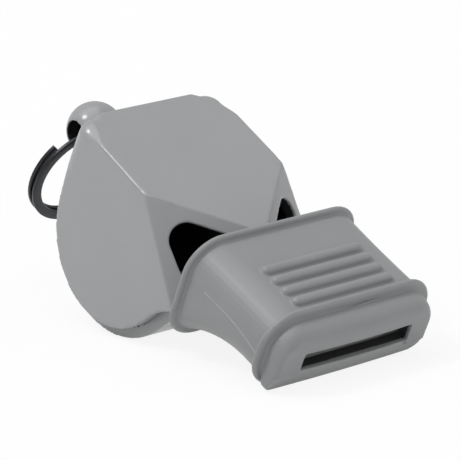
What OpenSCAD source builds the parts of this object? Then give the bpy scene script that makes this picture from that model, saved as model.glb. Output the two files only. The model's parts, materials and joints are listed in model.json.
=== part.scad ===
// Pealess sports whistle: a hollow moulded body with three chambers, a soft mouth grip and a split ring.
// Everything is drawn along the blowing axis first: X across, Y from the mouth face (y = 0) to the
// rear, Z up from the axis plane. A last turn then lays the whistle down on its belly and nose.

/* [Body moulding] */
// Width of the body between its two roof ridges, at the shoulders
roof_w = 22; // [21.5:0.5:24]
// Height of the roof plane over the axis plane, at the mouth face
roof_mouth_z = 5; // [4.8:0.1:5.4]
// Climb of the roof from the mouth towards the rear, in degrees
roof_climb_deg = 2.6; // [2:0.1:3.2]
// Outward lean of the cheeks on their way down, in degrees
cheek_lean_deg = 5; // [3:0.5:6]
// Gap between the grip and the front of the body
body_gap = 0.2; // [0.1:0.1:0.6]
// How far the rear edge of the roof reaches past the drum
roof_reach = 1.9; // [1.5:0.1:3]
// Radius of the two upright rear corners
corner_r = 2.3; // [1.5:0.1:3]
// Thickness of the body's walls
wall = 1.5; // [1.2:0.1:1.8]

/* [Drum] */
// Distance from the front of the body to the middle of the drum
drum_reach = 14; // [13.6:0.2:14.6]
// How far the middle of the drum lies below the axis plane
drum_drop = 2.5; // [2:0.1:3]
// Radius of the cheek rims
cheek_r = 10.9; // [10.5:0.1:11.4]
// How far the belly plate stands proud of the cheek rims
belly_proud = 1.5; // [1:0.1:2]
// Thickness of the belly plate
belly_wall = 2.4; // [2:0.1:3]
// How far below the axis plane the rear wall meets the belly plate
rear_seam_drop = 6.5; // [6:0.1:7]
// Radius of the hollow arc that leads from the mouthpiece to the drum
under_r = 8.4; // [8:0.1:9]
// How far below the axis plane the top of that arc lies
under_drop = 2.3; // [2.2:0.05:2.4]
// How far below the axis plane the side blocks behind the mouthpiece reach
block_drop = 3.2; // [3:0.1:3.4]

/* [Recesses and windows] */
// Distance from the front of the body to the shoulders, where the recesses start
shoulder_reach = 11.8; // [11:0.2:12.8]
// Distance from the front of the body to the front tips of the recesses, on the roof
recess_tip_reach = 2.4; // [2:0.1:3.2]
// Width of the neck that the two recesses leave between them
neck_w = 3; // [2.6:0.1:3.6]
// Distance from the front of the body to the foot of each recess, on the cheek
recess_foot_reach = 1.9; // [1.6:0.1:2.4]
// How far the foot of each recess lies below the axis plane
recess_foot_drop = 2.2; // [1.8:0.1:2.6]
// Rim of the recess floor between its roof edge and the side window
window_rim = 1.65; // [1.4:0.05:1.9]
// Radius of the rounded corner of each side window
window_r = 2.2; // [1.8:0.1:2.4]
// Distance of that corner's middle from the front tip of the recess, along its roof edge
window_far = 6.65; // [6.2:0.05:6.8]
// Angle between the roof edge and the outer edge of each side window, in degrees
window_edge_deg = 51; // [48:1:55]
// Width of the window under the belly
belly_window_w = 9; // [7:0.5:11]
// Length of the window under the belly
belly_window_len = 3.6; // [3:0.1:4.2]

/* [Mouthpiece] */
// Width of the hard mouthpiece inside the grip
mouth_w = 19.8; // [19.4:0.1:20.4]
// Height of the top of the hard mouthpiece over the axis plane
mouth_top_z = 5.7; // [5.5:0.05:5.75]
// How far the bottom of the hard mouthpiece lies below the axis plane, at its tip
mouth_drop = 0.3; // [0.2:0.1:0.5]
// How far it lies below the axis plane at the front of the body
mouth_root_drop = 1.8; // [1.6:0.1:2]
// Distance from the mouth face to the point where the bottom starts to fall
mouth_fall_y = 8; // [7:0.5:9]
// Distance from the mouth face to the hard tip behind the nose of the grip
tip_y = 1.6; // [1.4:0.1:2]
// Width of the mouthpiece that is left on each side of the blowing slot
slot_side = 1.5; // [1.2:0.1:2.2]
// Height of the blowing slot
slot_h = 2.45; // [2:0.05:2.7]
// Height of the floor of the blowing slot over the axis plane
slot_floor_z = 2; // [1.9:0.05:2.1]
// Width of the middle windway, which feeds the belly chamber
middle_way_w = 5.6; // [5:0.2:6.4]
// Thickness of the two walls between the windways
way_wall = 0.8; // [0.6:0.1:1]
// Distance from the mouth face to the front edges of those walls
way_wall_y = 3.6; // [3:0.2:4]
// Distance from the mouth face to the point where the side windways start to narrow
way_narrow_y = 6; // [5:0.5:8]
// How much the floors of the side windways rise on their way to the outlets
way_rise = 0.6; // [0.4:0.1:0.8]
// Distance from the front of the body to the outlets of the side windways
outlet_reach = 0.8; // [0.6:0.1:0.9]
// Distance from the mouth face to the point where the middle windway starts to dive
dive_y = 5; // [4.5:0.5:6]
// Distance from the mouth face to the point where its roof passes below the slot floor
dive_roof_y = 12; // [11:0.5:13]
// How far below the axis plane the floor of the middle windway lies at its outlet
dive_drop = 1.1; // [1:0.1:1.2]
// Height of the middle windway at its outlet
dive_h = 1.2; // [1:0.1:1.3]
// Length of the sill behind the outlets
sill_len = 1.8; // [1.6:0.1:2]
// Height of the rear edge of the sill over the axis plane
sill_z = 0.4; // [0.2:0.1:0.6]

/* [Air divider] */
// Thickness of the chamber floor
floor_t = 1; // [0.8:0.1:1.3]
// Thickness of the web between the left and right chambers
web_t = 1.2; // [1:0.1:1.6]
// How far below the axis plane the rear of the chamber floor lies
chamber_floor_drop = 4.2; // [3.8:0.1:4.8]
// Length of the chamber floor's ramp, from the sill to its foot
ramp_len = 5.2; // [4.6:0.1:6]

/* [Mouth grip] */
// Width of the grip between its beads
grip_w = 25.3; // [24.6:0.1:26.4]
// How much narrower the grip is at its waist
waist = 0.5; // [0:0.1:1]
// Height of the top of the grip over the axis plane
grip_top_z = 8; // [7.8:0.1:8.4]
// How far the bottom of the grip lies below the axis plane, at the front
grip_front_drop = 1.5; // [1.3:0.1:1.8]
// Radius of the arch under the rear half of the grip
grip_arch_r = 20; // [19:0.5:24]
// Distance from the mouth face to the start of that arch
grip_arch_y = 5.5; // [5:0.25:6.5]
// Length of the grip
grip_len = 18; // [17.8:0.1:18]
// Radius of the upper corners of the grip
grip_top_r = 4; // [3.5:0.1:4.2]
// Radius of the lower corners of the grip
grip_bottom_r = 4.2; // [3.6:0.1:4.4]
// Radius of the rounded crest of the two beads round the grip
bead_r = 0.5; // [0.4:0.05:0.6]
// How far the beads stand proud of the grip
bead_proud = 0.85; // [0.7:0.05:1]
// Distance from the mouth face to the crest of the front bead
front_bead_y = 2.9; // [2.7:0.1:3.2]
// How far the nose lies inside the rest of the grip
nose_inset = 0.45; // [0.3:0.05:0.6]
// Radius of the rounded upper edge of the nose
nose_r = 1.9; // [1.5:0.1:1.9]
// Share of that rounding that the sides and the bottom of the nose have
nose_side = 0.45; // [0.3:0.05:0.7]
// Height of the crease across the nose over the axis plane
crease_z = 1.25; // [1:0.05:1.4]
// Rake of the lip below the crease, in degrees
lip_rake_deg = 20; // [15:1:25]
// Number of ribs across the top of the grip
rib_count = 4; // [3:1:4]
// Distance between two ribs
rib_pitch = 2; // [1.9:0.05:2.2]
// Distance from the mouth face to the front rib
rib_front_y = 4.85; // [4.8:0.05:5.2]
// Overall length of each rib
rib_len = 15.6; // [14:0.2:16.4]
// Radius of each rib
rib_r = 0.75; // [0.6:0.05:0.85]
// How far each rib stands proud of the grip
rib_proud = 0.55; // [0.4:0.05:0.6]

/* [Lug and split ring] */
// Distance from the rear of the drum to the middle of the lug
lug_reach = 9.4; // [9:0.1:10]
// How far the middle of the lug lies below the axis plane
lug_drop = 2.6; // [2.2:0.1:3]
// Radius of the lug's ball
lug_r = 3.7; // [3.5:0.1:4]
// Radius of the lug's neck where it leaves the rear wall
lug_root_r = 3.6; // [3.2:0.1:3.9]
// Radius of the lug's neck where it enters the ball
lug_neck_r = 2.7; // [2.4:0.1:2.9]
// Radius of the hole through the lug, at its middle
lug_hole_r = 1.4; // [1.4:0.05:1.6]
// Diameter of the ring through the middle of its wire
ring_d = 14; // [13.6:0.1:14.6]
// Width of the ring's flat wire, from the inside of the ring to its outside
wire_w = 1.25; // [1.1:0.05:1.3]
// Thickness of the ring's flat wire
wire_t = 0.55; // [0.5:0.05:0.6]
// Gap between the ring's two turns
turn_gap = 0.43; // [0.42:0.01:0.48]
// How far the middle of the wire hangs below the middle of the lug's hole
ring_drop = 0.1; // [0:0.05:0.1]
// Lean of the ring away from square to the blowing axis, in degrees
ring_lean_deg = 4; // [0:1:15]
// Place of the ring's first cut end, in degrees round from the whistle's right
ring_end_deg = 137; // [132:1:142]
// Length of the step from one turn to the other, in degrees
ring_step_deg = 30; // [26:1:34]
// Gap between a cut end and the step beside it, in degrees
ring_end_gap_deg = 30; // [26:1:34]
// Chamfer along the edges of the wire
wire_chamfer = 0.1; // [0.08:0.01:0.12]

/* [Fits] */
// Gap at the welded seams between the hard mouldings
seam = 0.05; // [0.03:0.01:0.1]
// Gap between the hard mouthpiece and the bore of the grip
grip_fit = 0.05; // [0.03:0.01:0.1]

/* [Hidden] */

// How far cuts run past the faces that they open
over = 1;
// A length larger than the whistle, for half-spaces and through cuts
beyond = 80;
// Number of sides of the round forms
round_sides = 72;
// Angle between two points of a long arc, in degrees
arc_step = 5;
// Angle between two sections of the ring's wire, in degrees
ring_step = 6;
// Points on each rounded corner of the grip's sections
corner_points = 7;

half_w = roof_w / 2;
body_front_y = grip_len + body_gap;
recess_tip_y = body_front_y + recess_tip_reach;
recess_foot_y = body_front_y + recess_foot_reach;
shoulder_y = body_front_y + shoulder_reach;
outlet_y = body_front_y + outlet_reach;
sill_y = outlet_y + sill_len;
drum_y = body_front_y + drum_reach;
drum_z = -drum_drop;
belly_r = cheek_r + belly_proud;
belly_in_r = belly_r - belly_wall;
cheek_in_r = cheek_r - wall;
rear_y = drum_y + cheek_r + roof_reach;
mouth_bottom_z = -mouth_drop;
slot_w = mouth_w - 2 * slot_side;
slot_top_z = slot_floor_z + slot_h;
floor_z = -chamber_floor_drop;
ramp_foot_y = sill_y + ramp_len;
bead_rise = bead_proud - bead_r;
lug_y = drum_y + cheek_r + lug_reach;
lug_z = -lug_drop;

function unit(v) = v / norm(v);
function turn_by(v, a) = [v[0] * cos(a) - v[1] * sin(a), v[0] * sin(a) + v[1] * cos(a)];
function bearing(v) = atan2(v[1], v[0]);
function roof_at(y) = roof_mouth_z + y * tan(roof_climb_deg);
shoulder_z = roof_at(shoulder_y);
function half_at(z) = half_w + (shoulder_z - z) * tan(cheek_lean_deg);

// The underside runs from below the mouthpiece to the drum in a hollow arc that touches the drum
under_z = -under_drop - under_r;
under_y = drum_y - sqrt(pow(cheek_r + under_r, 2) - pow(drum_z - under_z, 2));
drum_c = [drum_y, drum_z];
under_c = [under_y, under_z];
touch_deg = bearing(under_c - drum_c) + 360;

// Radius of the hollow arc that meets a drum of radius r, and its angle at a distance y
function under_arc_r(r) = cheek_r + under_r - r;
function under_deg(r, y) = acos((y - under_y) / under_arc_r(r));

// Where the line down from a point at the roof's rear edge touches the drum's circle of radius r
function rear_touch(r, from) =
    let (d = drum_c - from, far = norm(d))
    from + turn_by(unit(d), asin(r / far)) * sqrt(far * far - r * r);

// Points of an arc, from one angle to another
function arc(c, r, from, to) =
    let (n = ceil(abs(to - from) / arc_step))
    [for (i = [0:n]) c + r * [cos(from + (to - from) * i / n), sin(from + (to - from) * i / n)]];

// Rear edge of the roof and rear wall, an inset further in, down to the drum of radius r
function rear_points(r, inset, to) =
    let (
        rear_top = [rear_y - inset, roof_at(rear_y) - inset],
        touch = rear_touch(r, rear_top)
    )
    concat([rear_top], arc(drum_c, r, bearing(touch - drum_c) + 360, to));

// The angle on the drum of radius r, where it lies a drop below the axis plane at the rear
function drop_deg(r, drop) = 360 - asin((drop - drum_drop) / r);

// Side outline in the Y-Z plane: roof, rear wall, drum and the hollow arc under it
cheek_points = concat(
    [[body_front_y, roof_at(body_front_y)]],
    rear_points(cheek_r, 0, touch_deg),
    arc(under_c, under_r, touch_deg - 180, under_deg(cheek_r, body_front_y))
);

// Side outline of all that is hollow between the cheeks, open at the bottom
room_points = concat(
    [[sill_y, roof_at(sill_y) - wall]],
    rear_points(cheek_in_r, wall, drop_deg(cheek_in_r, rear_seam_drop)),
    [
        [beyond, -rear_seam_drop], [beyond, -beyond], [body_front_y - over, -beyond],
        [body_front_y - over, -block_drop], [sill_y, -block_drop]
    ]
);

// Side outline of the belly plate
plate_seam_drop = rear_seam_drop + seam;
plate_points = concat(
    arc(drum_c, belly_r, drop_deg(belly_r, plate_seam_drop), touch_deg),
    arc(under_c, under_arc_r(belly_r), touch_deg - 180, under_deg(belly_r, body_front_y)),
    [[body_front_y, -block_drop - seam], [sill_y, -block_drop - seam]],
    arc(under_c, under_arc_r(belly_in_r), under_deg(belly_in_r, sill_y), touch_deg - 180),
    arc(drum_c, belly_in_r, touch_deg, drop_deg(belly_in_r, plate_seam_drop))
);

// Bottom line of the hard mouthpiece, from the front of the body to the tip, a gap further out
function mouth_bottom(gap) = [
    [body_front_y, -mouth_root_drop - gap], [mouth_fall_y, mouth_bottom_z - gap],
    [tip_y - gap, mouth_bottom_z - gap]
];

// Extrudes an outline of the Y-Z plane across X, from -w/2 to w/2
module across(w) {
    rotate([90, 0, 90]) linear_extrude(height = w, center = true) children();
}

// The space between two planes that lean outwards like the cheeks, an inset further in
module between_cheeks(inset) {
    top = roof_at(rear_y) + over;
    low = drum_z - belly_r - over;
    translate([0, beyond, 0]) rotate([90, 0, 0]) linear_extrude(height = 2 * beyond) polygon([
        [half_at(top) - inset, top], [half_at(low) - inset, low],
        [inset - half_at(low), low], [inset - half_at(top), top]
    ]);
}

// Keeps both sides of a piece that is drawn on the right
module both_sides() {
    children();
    mirror([1, 0, 0]) children();
}

// The plane of the right recess, through the shoulder, the recess's front tip and its foot
shoulder_p = [half_w, shoulder_y, shoulder_z];
tip_p = [neck_w / 2, recess_tip_y, roof_at(recess_tip_y)];
foot_p = [half_at(-recess_foot_drop), recess_foot_y, -recess_foot_drop];
recess_n = unit(cross(tip_p - shoulder_p, foot_p - shoulder_p));
recess_tilt = acos(recess_n[2]);
recess_turn = bearing([recess_n[0], recess_n[1]]);

// All that lies outside the recess's plane, or outside a plane a depth further in
module outside_recess(depth) {
    translate(shoulder_p - recess_n * depth) rotate([0, recess_tilt, recess_turn])
        translate([-beyond, -beyond, 0]) cube([2 * beyond, 2 * beyond, beyond]);
}

module recess_cut() {
    intersection() {
        outside_recess(0);
        translate([neck_w / 2, -beyond, -beyond]) cube(2 * beyond);
    }
}

// The right side window in the recess's own plane, measured from the recess's front tip along its
// roof edge. The upper edge follows the roof edge and the outer edge slants back towards the foot.
along = unit(shoulder_p - tip_p);
plane_x = [cos(recess_tilt) * cos(recess_turn), cos(recess_tilt) * sin(recess_turn), -sin(recess_tilt)];
plane_y = [-sin(recess_turn), cos(recess_turn), 0];
along_deg = bearing([along * plane_x, along * plane_y]);
window_arc = arc([window_far, -window_rim - window_r], window_r, 90, window_edge_deg - 90);
window_points = concat(
    [[-beyond, -window_rim]],
    window_arc,
    [window_arc[len(window_arc) - 1] - beyond * [cos(window_edge_deg), sin(window_edge_deg)]]
);
window_inner_x = neck_w / 2 + wall;

// The window is cut square to the recess, down to the cover's ramp behind the outlets
module window_cut() {
    intersection() {
        translate(tip_p) rotate([0, recess_tilt, recess_turn]) rotate([0, 0, along_deg])
            linear_extrude(height = 2 * beyond, center = true) polygon(window_points);
        translate([window_inner_x, outlet_y, -beyond]) cube(2 * beyond);
        translate([0, 0, -seam]) across(2 * beyond) polygon([
            [outlet_y - over, slot_floor_z], [outlet_y, slot_floor_z], [sill_y, sill_z],
            [ramp_foot_y, floor_z], [beyond, floor_z], [beyond, beyond], [outlet_y - over, beyond]
        ]);
    }
}

// The upright rear corners: what lies outside a leaning cylinder in each corner goes
module rear_corner_cut() {
    translate([half_w - corner_r, rear_y - corner_r, shoulder_z]) rotate([0, -cheek_lean_deg, 0])
        difference() {
            translate([0, 0, -beyond]) cube([beyond, beyond, 2 * beyond]);
            cylinder(r = corner_r, h = 4 * beyond, center = true, $fn = round_sides);
        }
}

// The lug's hole widens outwards with the bend of the ring that runs through it
module lug() {
    root_y = drum_y + cheek_r - wall / 2;
    bend = ring_d / 2;
    flare_deg = asin(lug_r / bend);
    flare = [for (a = [-flare_deg:flare_deg / 8:flare_deg])
        [lug_hole_r + bend * (1 - cos(a)), bend * sin(a)]];
    difference() {
        union() {
            translate([0, lug_y, lug_z]) rotate([0, 90, 0]) sphere(r = lug_r, $fn = round_sides);
            translate([0, root_y, lug_z]) rotate([-90, 0, 0]) rotate([0, 0, 90])
                cylinder(r1 = lug_root_r, r2 = lug_neck_r, h = lug_y - root_y, $fn = round_sides);
        }
        translate([0, lug_y, lug_z]) rotate([0, 90, 0]) rotate_extrude($fn = round_sides)
            polygon(concat([[0, -lug_r]], flare, [[0, lug_r]]));
    }
}

// A box that is centred across X: its width, its two ends along Y and its two heights
module middle_box(w, from, to, low, high) {
    translate([-w / 2, from, low]) cube([w, to - from, high - low]);
}

// Roof, cheeks and rear wall, hollow between them and closed by the floors of the recesses
module shell() {
    difference() {
        intersection() {
            across(2 * beyond) polygon(cheek_points);
            between_cheeks(0);
        }
        difference() {
            intersection() {
                across(2 * beyond) polygon(room_points);
                between_cheeks(wall);
            }
            both_sides() outside_recess(wall);
        }
        both_sides() {
            recess_cut();
            window_cut();
            rear_corner_cut();
        }
    }
}

module upper_body() {
    color("#9b9c9d") {
        difference() {
            union() {
                shell();
                middle_box(mouth_w, tip_y, outlet_y, slot_floor_z, mouth_top_z);
                middle_box(mouth_w, body_front_y, outlet_y, -block_drop, slot_floor_z + over);
            }
            across(slot_w) polygon([
                [tip_y - over, -beyond], [sill_y, -beyond], [sill_y, sill_z],
                [outlet_y, slot_floor_z], [outlet_y, slot_top_z], [tip_y - over, slot_top_z]
            ]);
        }
        lug();
    }
}

module lower_cover() {
    block_w = slot_w - 2 * seam;
    top_z = slot_floor_z - seam;
    core_z = mouth_bottom_z + over;
    color("#969798") difference() {
        union() {
            intersection() {
                across(2 * beyond) polygon(plate_points);
                between_cheeks(wall + seam);
            }
            across(mouth_w) polygon(concat(mouth_bottom(0), [[tip_y, top_z], [body_front_y, top_z]]));
            across(block_w) polygon([
                [way_narrow_y, core_z], [way_narrow_y, top_z], [outlet_y - seam, top_z + way_rise],
                [outlet_y - seam, top_z], [sill_y, sill_z - seam],
                [sill_y, -block_drop - over], [body_front_y, -block_drop - over], [body_front_y, core_z]
            ]);
            middle_box(middle_way_w + 2 * way_wall, way_wall_y, outlet_y - seam, core_z, slot_top_z - seam);
        }
        across(middle_way_w) polygon([
            [way_wall_y - over, top_z], [dive_y, top_z],
            [outlet_y + over, -dive_drop], [outlet_y + over, dive_h - dive_drop],
            [dive_roof_y, top_z], [dive_y + over, slot_top_z + over], [way_wall_y - over, slot_top_z + over]
        ]);
        across(belly_window_w) polygon([
            [outlet_y, -beyond], [outlet_y + belly_window_len, -beyond],
            [outlet_y + belly_window_len, sill_z - floor_t], [sill_y, sill_z - floor_t],
            [outlet_y, dive_h - dive_drop]
        ]);
        intersection() {
            both_sides() outside_recess(0);
            middle_box(2 * beyond, outlet_y, beyond, -beyond, beyond);
        }
    }
}

// The chamber floor falls from the sill to its foot and runs on level to the rear wall. The web
// reaches from inside that floor up to the roof and the rear wall.
module air_divider() {
    front = sill_y + seam;
    rear = drum_y + sqrt(pow(cheek_in_r - seam, 2) - pow(chamber_floor_drop + floor_t - drum_drop, 2));
    ramp_deg = atan((sill_z - floor_z) / (ramp_foot_y - sill_y));
    under_foot_y = ramp_foot_y - floor_t * tan(ramp_deg / 2);
    core_z = floor_z - floor_t / 2;
    color("#8f9091") difference() {
        union() {
            intersection() {
                across(2 * beyond) polygon([
                    [front, sill_z - floor_t / cos(ramp_deg)], [front, sill_z], [ramp_foot_y, floor_z],
                    [rear, floor_z], [rear, floor_z - floor_t], [under_foot_y, floor_z - floor_t]
                ]);
                between_cheeks(wall + seam);
            }
            across(web_t) intersection() {
                polygon(concat(
                    [[front, roof_at(sill_y) - wall - seam]],
                    rear_points(cheek_in_r - seam, wall + seam, drop_deg(cheek_in_r - seam, -core_z)),
                    [[front, core_z]]
                ));
                polygon([
                    [front, sill_z - floor_t / 2], [ramp_foot_y, core_z], [beyond, core_z],
                    [beyond, beyond], [front, beyond]
                ]);
            }
        }
        both_sides() outside_recess(wall + seam);
    }
}

grip_half = grip_w / 2;
rear_bead_y = grip_len - bead_r;

// Height of the bottom of the grip and half of its width, at a distance y from the mouth face
function grip_low(y) = -grip_front_drop
    - (y > grip_arch_y ? grip_arch_r - sqrt(pow(grip_arch_r, 2) - pow(y - grip_arch_y, 2)) : 0);
function grip_wide(y) = grip_half - waist / 2 * sin(180 * y / grip_len);

// Points of one corner of a section, and a whole section grown by e all round. Its sides and bottom
// are moved out by a further w.
function corner(x, y, z, r, from) =
    [for (i = [0:corner_points - 1]) let (a = from + 90 * i / (corner_points - 1))
        [x + r * cos(a), y, z + r * sin(a)]];
function section(y, e, w) =
    let (
        top_x = grip_wide(y) - grip_top_r + w,
        top_z = grip_top_z - grip_top_r,
        low_x = grip_wide(y) - grip_bottom_r + w,
        low_z = grip_low(y) + grip_bottom_r - w
    )
    concat(
        corner(top_x, y, top_z, grip_top_r + e, 0),
        corner(-top_x, y, top_z, grip_top_r + e, 90),
        corner(-low_x, y, low_z, grip_bottom_r + e, 180),
        corner(low_x, y, low_z, grip_bottom_r + e, 270)
    );

// A bead's crest, as distance along Y and growth of its sections
function bead(y) = [for (a = [180:-30:0]) [y + bead_r * cos(a), bead_rise + bead_r * sin(a), 0]];

// Distance along Y, growth and side shift of each section: nose, front bead, sleeve, rear bead
sleeve_front = front_bead_y + bead_r;
sleeve_rear = rear_bead_y - bead_r;
stations = concat(
    [for (a = [90:-18:0]) let (rounding = nose_r * (1 - cos(a)))
        [nose_r * (1 - sin(a)), -nose_inset - rounding, (1 - nose_side) * rounding]],
    [[front_bead_y - bead_r, -nose_inset, 0]],
    bead(front_bead_y),
    [for (i = [0:8]) [sleeve_front + (sleeve_rear - sleeve_front) * i / 8, 0, 0]],
    bead(rear_bead_y),
    [[grip_len, 0, 0]]
);

// A closed skin over rows of points that all have the same number of points
module skin(rows) {
    n = len(rows[0]);
    last = (len(rows) - 1) * n;
    polyhedron(
        points = [for (row = rows) for (p = row) p],
        faces = concat(
            [[for (j = [0:n - 1]) j]],
            [for (i = [0:len(rows) - 2]) for (j = [0:n - 1]) let (k = (j + 1) % n)
                [i * n + j, (i + 1) * n + j, (i + 1) * n + k]],
            [for (i = [0:len(rows) - 2]) for (j = [0:n - 1]) let (k = (j + 1) % n)
                [i * n + j, (i + 1) * n + k, i * n + k]],
            [[for (j = [n - 1:-1:0]) last + j]]
        )
    );
}

// One rib across the top, round at both ends
module rib(y) {
    reach = rib_len / 2 - rib_r;
    translate([0, y, grip_top_z + rib_proud - rib_r]) {
        rotate([0, 90, 0]) cylinder(r = rib_r, h = 2 * reach, center = true, $fn = round_sides / 3);
        both_sides() translate([reach, 0, 0]) sphere(r = rib_r, $fn = round_sides / 3);
    }
}

// What lies in front of the raked lip, over a width w and below a height z
module lip_cut(w, z) {
    translate([0, 0, z]) rotate([lip_rake_deg, 0, 0]) middle_box(w, -beyond, 0, -beyond, 0);
}

module mouth_grip() {
    color("#8c8e8f") difference() {
        union() {
            skin([for (i = [len(stations) - 1:-1:0]) let (s = stations[i]) section(s[0], s[1], s[2])]);
            for (i = [0:rib_count - 1]) rib(rib_front_y + i * rib_pitch);
        }
        across(mouth_w + 2 * grip_fit) polygon(concat(
            [[body_front_y + over, -mouth_root_drop - grip_fit]],
            mouth_bottom(grip_fit),
            [[tip_y - grip_fit, mouth_top_z + grip_fit], [body_front_y + over, mouth_top_z + grip_fit]]
        ));
        middle_box(slot_w, -over, tip_y + over, slot_floor_z, slot_top_z);
        lip_cut(beyond, crease_z);
        lip_cut(slot_w, slot_floor_z);
    }
}

// Height of the wire's middle over the ring's plane, at an angle t along the wire
layer = (wire_t + turn_gap) / 2;
step_to = 360 - ring_end_gap_deg;
step_from = step_to - ring_step_deg;
wire_deg = 360 + step_from - ring_end_gap_deg;
function layer_at(t) = t < step_from ? layer
    : t > step_to ? -layer : layer * cos(180 * (t - step_from) / ring_step_deg);

// The wire's section, and the wire's rows of points round the middle of the ring
wire_section = [
    for (q = [[1, -1], [1, 1], [-1, 1], [-1, -1]]) for (e = q[0] == q[1] ? [[0, 1], [1, 0]] : [[1, 0], [0, 1]])
        [q[0] * (wire_w / 2 - e[0] * wire_chamfer), q[1] * (wire_t / 2 - e[1] * wire_chamfer)]
];
wire_n = ceil(wire_deg / ring_step);
wire_rows = [for (i = [0:wire_n]) let (t = wire_deg * i / wire_n, a = ring_end_deg + t)
    [for (s = wire_section) [
        (ring_d / 2 + s[0]) * cos(a), layer_at(t) + s[1], (ring_d / 2 + s[0]) * sin(a)
    ]]];

// Least distance between points of one turn and points of the next
turn_n = round(360 / wire_deg * wire_n);
least_gap = min([for (i = [0:wire_n]) for (j = [i + turn_n - 3:min(i + turn_n + 3, wire_n)])
    min([for (p = wire_rows[i]) for (q = wire_rows[min(j, wire_n)]) j > wire_n ? ring_d : norm(p - q)])]);
echo("least gap between the turns of the ring", least_gap);

module split_ring() {
    color("#2b2c2e") translate([0, lug_y, lug_z]) rotate([ring_lean_deg, 0, 0])
        translate([0, 0, -ring_drop - ring_d / 2]) skin(wire_rows);
}

// At rest the whistle lies on its belly and on the front bead of the grip
to_drum = drum_c - [front_bead_y, -grip_front_drop - bead_rise];
rest_deg = asin((belly_r - bead_r) / norm(to_drum)) - bearing(to_drum);
hang_deg = rest_deg + ring_lean_deg;
lug_back = lug_y * cos(rest_deg) - lug_z * sin(rest_deg);
ring_far = ring_drop + ring_d + wire_w / 2;
most_rear = lug_back + ring_far * sin(hang_deg) + (layer + wire_t / 2) * cos(hang_deg);
nose_z = grip_top_z - nose_inset - nose_r;
most_front = nose_r * cos(rest_deg) - nose_z * sin(rest_deg) - nose_r;
lowest = drum_y * sin(rest_deg) + drum_z * cos(rest_deg) - belly_r;

module at_rest() {
    translate([0, -(most_front + most_rear) / 2, -lowest]) rotate([rest_deg, 0, 0]) children();
}

at_rest() upper_body();
at_rest() lower_cover();
at_rest() air_divider();
at_rest() mouth_grip();
at_rest() split_ring();
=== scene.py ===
"""Looks of a pealess sports whistle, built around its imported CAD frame.

Lengths are written in millimetres along the blowing axis, as a maker would measure the whistle: X to
its right, Y from the mouth face to the rear, Z up. RestPose then lays each piece down on its belly
and nose, where the CAD frame has it.
"""

import json
import logging
import math
from collections.abc import Callable
from dataclasses import dataclass
from enum import Enum

import bmesh
import bpy
from mathutils import Euler, Matrix, Vector

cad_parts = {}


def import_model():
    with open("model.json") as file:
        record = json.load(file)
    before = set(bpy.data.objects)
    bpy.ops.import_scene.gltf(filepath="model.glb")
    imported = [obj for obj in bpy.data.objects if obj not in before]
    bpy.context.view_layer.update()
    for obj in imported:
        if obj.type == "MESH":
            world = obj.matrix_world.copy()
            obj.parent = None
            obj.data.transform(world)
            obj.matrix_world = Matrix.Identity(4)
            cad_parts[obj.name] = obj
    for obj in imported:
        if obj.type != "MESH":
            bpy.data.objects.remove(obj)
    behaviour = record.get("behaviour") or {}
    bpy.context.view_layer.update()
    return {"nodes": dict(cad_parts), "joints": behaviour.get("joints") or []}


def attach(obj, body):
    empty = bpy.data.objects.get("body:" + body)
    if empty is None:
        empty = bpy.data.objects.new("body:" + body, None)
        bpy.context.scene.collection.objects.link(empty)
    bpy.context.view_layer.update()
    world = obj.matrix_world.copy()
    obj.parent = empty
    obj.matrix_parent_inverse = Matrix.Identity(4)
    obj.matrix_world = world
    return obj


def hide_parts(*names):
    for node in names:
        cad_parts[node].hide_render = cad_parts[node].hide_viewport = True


log = logging.getLogger("whistle")

MM = 0.001
ALL_SMOOTH_DEG = 180
EDGED_SMOOTH_DEG = 40


class Body(Enum):
    """The two rigid bodies of the frame."""

    WHISTLE = "whistle"
    RING = "ring"


class Slot(Enum):
    """The record's material slots."""

    BODY = "body_plastic"
    COVER = "cover_plastic"
    DIVIDER = "divider_plastic"
    GRIP = "grip_rubber"
    RING = "ring_steel"


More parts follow.
